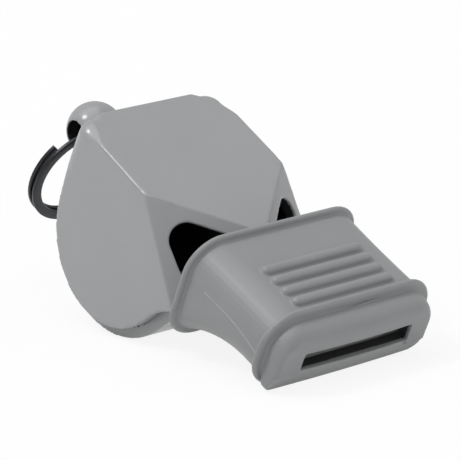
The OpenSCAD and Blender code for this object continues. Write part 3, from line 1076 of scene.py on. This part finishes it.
@dataclass
class MouthGrip:
    """The soft sleeve over the mouthpiece: squared nose, two beads, four ribs, bore and slot."""

    pose: RestPose
    width: float = 25.3
    waist: float = 0.5
    top_z: float = 8.0
    front_low_z: float = -1.5
    arch_r: float = 20.0
    arch_y: float = 5.5
    length: float = 18.0
    top_r: float = 4.0
    low_r: float = 4.2
    bead_r: float = 0.4
    bead_rise: float = 0.34
    front_bead_y: float = 2.9
    nose_inset: float = 0.45
    nose_r: float = 1.9
    nose_side: float = 0.45
    nose_low_grow: float = 0.45
    nose_square: float = 2.1
    nose_bow: float = 0.4
    bow_reach: float = 2.3
    crease_z: float = 1.25
    lip_rake_deg: float = 20.0
    rib_count: int = 4
    rib_pitch: float = 2.0
    rib_front_y: float = 4.85
    rib_len: float = 15.6
    rib_r: float = 0.78
    rib_proud: float = 0.7
    mouth_w: float = 19.9
    bore_top_z: float = 5.75
    bore_low_z: float = -0.35
    bore_root_z: float = -1.85
    bore_fall_y: float = 8.0
    tip_y: float = 1.55
    slot_w: float = 16.8
    slot_low_z: float = 2.0
    slot_top_z: float = 4.45
    slot_corner_r: float = 0.25
    slot_edge_y: float = 0.25
    wall_reach: float = 0.1
    flash_place: tuple[float, float, float] = (1.9, 2.2, 7.5)
    flash_len: float = 10.5
    flash_t: float = 0.09
    flash_h: float = 0.5
    flash_slant: float = 0.064
    flash_fall: float = 0.8
    flash_cuts: int = 15
    flash_edge_r: float = 0.02
    flash_edge_rad: float = 0.6
    voxel: float = 0.11
    smooth_rounds: int = 1
    keep: float = 0.72
    corner_steps: int = 10
    nose_steps: int = 8
    bead_steps: int = 12
    sleeve_steps: int = 14
    bead_foot: float = 0.06
    nose_clear: float = 0.6
    overrun: float = 2.0
    tol: float = 0.001

    def build(self) -> bpy.types.Object:
        """Builds the grip.

        Returns:
            The finished piece.
        """
        obj = self._blank()
        for y, grow, wide in self._stations():
            self._shape_station(obj, y, grow, wide)
        for cutter in (
            self._bore(),
            self._slot(),
            self._lip_cutter(2 * self.width, self.crease_z),
            self._lip_cutter(self.slot_w, self.slot_low_z),
        ):
            cut_away(obj, cutter)
        self._add_ribs(obj)
        melt(obj, self.voxel, self.smooth_rounds)
        self._bow_nose(obj)
        apply_modifier(obj, "DECIMATE", ratio=self.keep)
        obj.data.materials.clear()
        obj.data.materials.append(SoftElastomer(self.pose).build())
        # Painted shade: the walls of the slot and of the bore behind it get a near-black copy of the
        # grey rubber, for the little light that reaches them
        painted_slot_shade = SoftElastomer(self.pose, "elastomer_painted_shade_in_the_slot", "2b2c2d", "252627")
        shade_faces(obj, painted_slot_shade.build(), self._slot_face_in_painted_shade)
        lay_down(obj, self.pose)
        finish_piece(obj, None, Body.WHISTLE, ALL_SMOOTH_DEG)
        self._flash()
        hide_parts("mouth_grip")
        return obj

    def _flash(self) -> bpy.types.Object:
        """The thin fin of flash that stands between the nose and the front bead.

        Returns:
            The piece.
        """
        deselect_all()
        bpy.ops.mesh.primitive_cube_add(
            size=1, location=self.flash_place, scale=(self.flash_len, self.flash_t, self.flash_h)
        )
        obj = added("moulding_flash")
        bpy.ops.object.mode_set(mode="EDIT")
        for i in range(self.flash_cuts):
            bpy.ops.mesh.select_all(action="SELECT")
            share = (i + 1) / (self.flash_cuts + 1)
            x = self.flash_place[0] + self.flash_len * (share - 0.5)
            bpy.ops.mesh.bisect(plane_co=(x, 0, 0), plane_no=(1, 0, 0))
        bpy.ops.object.mode_set(mode="OBJECT")
        for vertex in obj.data.vertices:
            off = 2 * (vertex.co.x - self.flash_place[0]) / self.flash_len
            if vertex.co.z > self.flash_place[2]:
                vertex.co.z -= self.flash_h * self.flash_fall * off**2
            vertex.co.y += self.flash_slant * (vertex.co.x - self.flash_place[0])
        apply_modifier(
            obj,
            "BEVEL",
            width=self.flash_edge_r,
            segments=2,
            limit_method="ANGLE",
            angle_limit=self.flash_edge_rad,
        )
        lay_down(obj, self.pose)
        # Painted highlight: the fin's rubber is drawn paler than the grip's, for the light its thin edge
        # catches
        skin = SoftElastomer(self.pose, "elastomer_flash_painted_highlight", "9b9d9e", "949697")
        finish_piece(obj, skin.build(), Body.WHISTLE, EDGED_SMOOTH_DEG)
        return obj

    def _bow_nose(self, obj: bpy.types.Object) -> None:
        """Bows the mouth face out, most in its middle.

        Args:
            obj: The sleeve.
        """
        for vertex in obj.data.vertices:
            co = vertex.co
            if co.y < self.bow_reach:
                share = (1 - (2 * co.x / self.width) ** 2) * (1 - co.y / self.bow_reach)
                co.y -= self.nose_bow * max(0.0, share)

    def _slot_face_in_painted_shade(self, point: Vector) -> bool:
        """Whether a face is a wall of the slot or of the bore behind it, which gets painted shade.

        Args:
            point: The face's middle.

        Returns:
            True for the walls.
        """
        near = self.wall_reach
        return (
            abs(point.x) < self.mouth_w / 2 + near
            and point.y > self.slot_edge_y
            and self.bore_root_z - near < point.z < self.bore_top_z + near
            and (point.z > self.slot_low_z - near or point.y > self.tip_y - near)
            and (point.z < self.slot_top_z + near or point.y > self.tip_y - near)
        )

    def _stations(self) -> list[tuple[float, float, float]]:
        """Where the sections are: distance along Y, growth all round, and side shift.

        Returns:
            The sections from the mouth face to the rear.
        """
        rows: list[tuple[float, float, float]] = []
        for i in range(self.nose_steps + 1):
            a = math.radians(90 - 90 * i / self.nose_steps)
            rounding = self.nose_r * (1 - math.cos(a))
            rows.append(
                (
                    self.nose_r * (1 - math.sin(a)),
                    -self.nose_inset - rounding,
                    (1 - self.nose_side) * rounding,
                )
            )
        rear_bead_y = self.length - self.bead_r
        sleeve_front = self.front_bead_y + self.bead_r
        sleeve_rear = rear_bead_y - self.bead_r
        nose_rear = self.front_bead_y - self.bead_r
        rows.append((nose_rear - self.bead_foot, -self.nose_inset, 0.0))
        rows += self._bead(self.front_bead_y)
        rows.append((sleeve_front + self.bead_foot, 0.0, 0.0))
        rows += [
            (sleeve_front + (sleeve_rear - sleeve_front) * i / self.sleeve_steps, 0.0, 0.0)
            for i in range(1, self.sleeve_steps)
        ]
        rows.append((sleeve_rear - self.bead_foot, 0.0, 0.0))
        rows += self._bead(rear_bead_y)
        return rows

    def _bead(self, y: float) -> list[tuple[float, float, float]]:
        """The sections over one bead's crest.

        Args:
            y: Distance of the crest from the mouth face.

        Returns:
            The sections from front to rear.
        """
        angles = [math.radians(180 - 180 * i / self.bead_steps) for i in range(self.bead_steps + 1)]
        return [
            (y + self.bead_r * math.cos(a), self.bead_rise + self.bead_r * math.sin(a), 0.0)
            for a in angles
        ]

    def _low_z(self, y: float) -> float:
        """Height of the grip's bottom at a distance from the mouth face."""
        far = max(y - self.arch_y, 0.0)
        return self.front_low_z - (self.arch_r - math.sqrt(self.arch_r**2 - far**2))

    def _blank(self) -> bpy.types.Object:
        """A block with rounded long edges and a ring of edges at each station.

        Returns:
            The block.
        """
        height = self.top_z - self.front_low_z
        deselect_all()
        bpy.ops.mesh.primitive_cube_add(
            size=1,
            location=(0, self.length / 2, self.front_low_z + height / 2),
            scale=(self.width, self.length, height),
        )
        obj = added("mouth_sleeve")
        for upper, radius in ((True, self.top_r), (False, self.low_r)):
            self._round_long_edges(obj, upper, radius)
        bpy.ops.object.mode_set(mode="EDIT")
        for y, _, _ in self._stations()[1:-1]:
            bpy.ops.mesh.select_all(action="SELECT")
            bpy.ops.mesh.bisect(plane_co=(0, y, 0), plane_no=(0, 1, 0))
        bpy.ops.object.mode_set(mode="OBJECT")
        return obj

    def _round_long_edges(self, obj: bpy.types.Object, upper: bool, radius: float) -> None:
        """Bevels the block's two upper or two lower long edges.

        Args:
            obj: The block.
            upper: Whether the upper edges are meant.
            radius: Radius of the rounding.
        """
        level = self.top_z if upper else self.front_low_z
        take(obj)
        bpy.ops.object.mode_set(mode="EDIT")
        bpy.ops.mesh.select_mode(type="EDGE")
        bpy.ops.mesh.select_all(action="DESELECT")
        mesh = bmesh.from_edit_mesh(obj.data)
        for edge in mesh.edges:
            a, b = (v.co for v in edge.verts)
            long_edge = abs(a.y - b.y) > self.length / 2
            outer = abs(abs(a.x) - self.width / 2) < self.tol
            if long_edge and outer and abs(a.z - level) < self.tol:
                edge.select_set(True)
        bmesh.update_edit_mesh(obj.data)
        bpy.ops.mesh.bevel(offset=radius, segments=self.corner_steps, affect="EDGES")
        bpy.ops.object.mode_set(mode="OBJECT")

    def _shape_station(self, obj: bpy.types.Object, y: float, grow: float, wide: float) -> None:
        """Moves the four corners of one section to their place and grows them about their centres.

        Args:
            obj: The sleeve.
            y: The section's distance from the mouth face.
            grow: How far the section grows all round.
            wide: How far its sides and its bottom move out besides.
        """
        take(obj)
        bpy.ops.object.mode_set(mode="EDIT")
        middle = (self.top_z + self.front_low_z) / 2
        narrow = self.waist / 2 * math.sin(math.pi * y / self.length)
        for side in (1, -1):
            for upper in (True, False):
                radius = self.top_r if upper else self.low_r
                on_nose = y < self.front_bead_y - self.nose_clear
                square = self.nose_square if on_nose and not upper else 0.0
                drop = self.nose_low_grow if square else 0.0
                fall = 0.0 if upper else self._low_z(y) - self.front_low_z - wide - square - drop
                count = select_where(
                    obj,
                    "VERT",
                    lambda v, s=side, u=upper: abs(v.co.y - y) < self.tol
                    and v.co.x * s > 0
                    and (v.co.z > middle) == u,
                )
                if not count:
                    continue
                edge_z = self.top_z - radius if upper else self.front_low_z + radius
                centre = Vector((side * (self.width / 2 - radius), y, edge_z))
                factor = (radius + grow - square) / radius
                bpy.ops.transform.resize(value=(factor, 1, factor), center_override=tuple(centre))
                out = wide + square - narrow
                bpy.ops.transform.translate(value=(side * out, 0, fall))
        bpy.ops.object.mode_set(mode="OBJECT")

    def _lip_cutter(self, width: float, top_z: float) -> bpy.types.Object:
        """The space in front of the raked lip, which falls back from the slot's floor.

        Args:
            width: How wide it is.
            top_z: Height of its flat top.

        Returns:
            The cutter.
        """
        size = 2 * self.width
        deselect_all()
        bpy.ops.mesh.primitive_cube_add(
            size=1, location=(0, -size / 2, 0), scale=(width, size, size)
        )
        obj = added("lip_cutter")
        rake = Matrix.Rotation(math.radians(self.lip_rake_deg), 4, "X")
        obj.data.transform(Matrix.Translation((0, 0, self.slot_low_z)) @ rake)
        take(obj)
        bpy.ops.object.mode_set(mode="EDIT")
        bpy.ops.mesh.select_all(action="SELECT")
        bpy.ops.mesh.bisect(
            plane_co=(0, 0, top_z), plane_no=(0, 0, 1), use_fill=True, clear_outer=True
        )
        bpy.ops.object.mode_set(mode="OBJECT")
        return obj

    def _bore(self) -> bpy.types.Object:
        """The space of the hard mouthpiece, open to the rear.

        Returns:
            The cutter.
        """
        far = self.length + self.overrun
        deselect_all()
        bpy.ops.mesh.primitive_cube_add(
            size=1,
            location=(0, (self.tip_y + far) / 2, (self.bore_top_z + self.bore_low_z) / 2),
            scale=(self.mouth_w, far - self.tip_y, self.bore_top_z - self.bore_low_z),
        )
        obj = added("bore_cutter")
        bpy.ops.object.mode_set(mode="EDIT")
        bpy.ops.mesh.select_all(action="SELECT")
        bpy.ops.mesh.bisect(plane_co=(0, self.bore_fall_y, 0), plane_no=(0, 1, 0))
        select_where(obj, "VERT", lambda v: v.co.y > self.bore_fall_y + self.tol and v.co.z < 0)
        bpy.ops.transform.translate(value=(0, 0, self.bore_root_z - self.bore_low_z))
        bpy.ops.object.mode_set(mode="OBJECT")
        return obj

    def _slot(self) -> bpy.types.Object:
        """The blowing slot through the nose, with slightly rounded corners.

        Returns:
            The cutter.
        """
        deselect_all()
        bpy.ops.mesh.primitive_cube_add(
            size=1,
            location=(0, self.tip_y, (self.slot_low_z + self.slot_top_z) / 2),
            scale=(
                self.slot_w,
                2 * self.tip_y + self.overrun,
                self.slot_top_z - self.slot_low_z,
            ),
        )
        obj = added("slot_cutter")
        bpy.ops.object.mode_set(mode="EDIT")
        bpy.ops.mesh.select_mode(type="EDGE")
        mesh = bmesh.from_edit_mesh(obj.data)
        for edge in mesh.edges:
            a, b = (v.co for v in edge.verts)
            edge.select_set(abs(a.y - b.y) > self.tol)
        bmesh.update_edit_mesh(obj.data)
        bpy.ops.mesh.bevel(offset=self.slot_corner_r, segments=3, affect="EDGES")
        bpy.ops.object.mode_set(mode="OBJECT")
        return obj

    def _add_ribs(self, obj: bpy.types.Object) -> None:
        """Models one rib, copies it and joins the ribs to the sleeve.

        Args:
            obj: The sleeve.
        """
        reach = self.rib_len / 2 - self.rib_r
        z = self.top_z + self.rib_proud - self.rib_r
        deselect_all()
        bpy.ops.mesh.primitive_uv_sphere_add(
            segments=24,
            ring_count=16,
            radius=self.rib_r,
            location=(0, self.rib_front_y, z),
            rotation=(0, math.pi / 2, 0),
        )
        rib = added("grip_rib")
        bpy.ops.object.mode_set(mode="EDIT")
        for side in (1, -1):
            select_where(rib, "VERT", lambda v, s=side: v.co.x * s > self.tol)
            bpy.ops.transform.translate(value=(side * reach, 0, 0))
        bpy.ops.object.mode_set(mode="OBJECT")
        ribs = [rib]
        for i in range(1, self.rib_count):
            copy = rib.copy()
            copy.data = rib.data.copy()
            copy.data.transform(Matrix.Translation((0, i * self.rib_pitch, 0)))
            bpy.context.scene.collection.objects.link(copy)
            ribs.append(copy)
        take(obj)
        for item in ribs:
            item.select_set(True)
        bpy.context.view_layer.objects.active = obj
        bpy.ops.object.join()


@dataclass
class SplitRing:
    """The two-turn ring of flat wire, from its CAD solid, with rolled edges."""

    nodes: dict[str, bpy.types.Object]
    pose: RestPose
    edge_r: float = 0.05
    edge_deg: float = 30.0

    def build(self) -> bpy.types.Object:
        """Builds the ring.

        Returns:
            The finished piece.
        """
        obj = own_copy(self.nodes["split_ring"], "ring_wire", self.pose)
        apply_modifier(
            obj,
            "BEVEL",
            width=self.edge_r,
            segments=2,
            limit_method="ANGLE",
            angle_limit=math.radians(self.edge_deg),
        )
        lay_down(obj, self.pose)
        finish_piece(obj, BlackSpringSteel().build(), Body.RING, EDGED_SMOOTH_DEG)
        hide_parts("split_ring")
        return obj


@dataclass
class Studio:
    """Floor, lamps, world and the camera at the photograph's angle."""

    pose: RestPose
    floor_size_m: float = 6.0
    image_px: float = 460.0
    focal_px: float = 3000.0
    sensor_mm: float = 36.0
    camera_mm: tuple[float, float, float] = (-223.819, -178.7383, 211.0688)
    camera_deg: tuple[float, float, float] = (53.976064, -14.778881, -37.210322)
    clip_start_m: float = 0.01
    world_strength: float = 0.46
    key_m: float = 1.0
    key_place: tuple[float, float, float] = (-0.2, 0.1, 0.9)
    key_watts: float = 4.2
    fill_m: float = 0.6
    fill_place: tuple[float, float, float] = (0.7, -0.5, 0.35)
    fill_watts: float = 0.9
    glint_m: float = 0.16
    ridge_place: tuple[float, float, float] = (-0.51, 0.22, 0.77)
    ridge_watts: float = 2.6

    def build(self) -> None:
        """Builds the whole studio."""
        self._floor()
        self._world()
        self._lamp("key_softbox", self.key_place, self.key_m, self.key_watts)
        self._lamp("fill_softbox", self.fill_place, self.fill_m, self.fill_watts)
        self._lamp("ridge_glint", self.ridge_place, self.glint_m, self.ridge_watts)
        self._camera()
        bpy.context.scene.view_settings.view_transform = "Standard"

    def _floor(self) -> None:
        """A plain white floor under the whistle."""
        deselect_all()
        bpy.ops.mesh.primitive_plane_add(size=self.floor_size_m)
        floor = added("paper_floor")
        floor.data.materials.append(StudioPaper().build())

    def _world(self) -> None:
        """An even white surround that the camera sees as white."""
        world = bpy.data.worlds.new("white_studio")
        world.use_nodes = True
        tree = world.node_tree
        tree.nodes.clear()
        rays = add_node(tree, "ShaderNodeLightPath")
        strength = add_node(
            tree,
            "ShaderNodeMix",
            {"data_type": "FLOAT"},
            {"Factor": rays.outputs["Is Camera Ray"]},
        )
        strength.inputs[2].default_value = self.world_strength
        strength.inputs[3].default_value = 1.0
        light = add_node(
            tree,
            "ShaderNodeBackground",
            {"Color": (1.0, 1.0, 1.0, 1.0)},
            {"Strength": strength.outputs[0]},
        )
        add_node(tree, "ShaderNodeOutputWorld", None, {"Surface": light.outputs["Background"]})
        bpy.context.scene.world = world

    def _lamp(
        self, name: str, place_m: tuple[float, float, float], size_m: float, watts: float
    ) -> None:
        """A square softbox that points at the whistle.

        Args:
            name: The lamp's name.
            place_m: Where it hangs, in metres.
            size_m: Length of its sides.
            watts: Its power.
        """
        data = bpy.data.lights.new(name, "AREA")
        data.shape = "SQUARE"
        data.size = size_m
        data.energy = watts
        lamp = bpy.data.objects.new(name, data)
        lamp.location = place_m
        lamp.rotation_euler = (-Vector(place_m)).to_track_quat("-Z", "Y").to_euler()
        bpy.context.scene.collection.objects.link(lamp)

    def _camera(self) -> None:
        """The camera, where the photograph's stood beside the whistle, for a square frame."""
        data = bpy.data.cameras.new("photo_camera")
        data.sensor_width = self.sensor_mm
        data.lens = self.focal_px / self.image_px * self.sensor_mm
        data.clip_start = self.clip_start_m
        turn = Euler([math.radians(a) for a in self.camera_deg], "XYZ").to_matrix().to_4x4()
        placed = self.pose.matrix() @ Matrix.Translation(Vector(self.camera_mm)) @ turn
        camera = bpy.data.objects.new("photo_camera", data)
        camera.location = placed.to_translation()
        camera.rotation_euler = placed.to_euler("XYZ")
        bpy.context.scene.collection.objects.link(camera)
        bpy.context.scene.camera = camera


def main() -> None:
    """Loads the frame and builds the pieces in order."""
    logging.basicConfig(level=logging.INFO, format="%(name)s: %(message)s")
    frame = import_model()
    nodes = frame["nodes"]
    pose = RestPose.from_frame(frame["joints"][0])
    log.info("pitch %.4f deg", pose.pitch_deg)
    HardMouldings(nodes, pose).build()
    MouthGrip(pose).build()
    SplitRing(nodes, pose).build()
    Studio(pose).build()


if __name__ == "__main__":
    main()
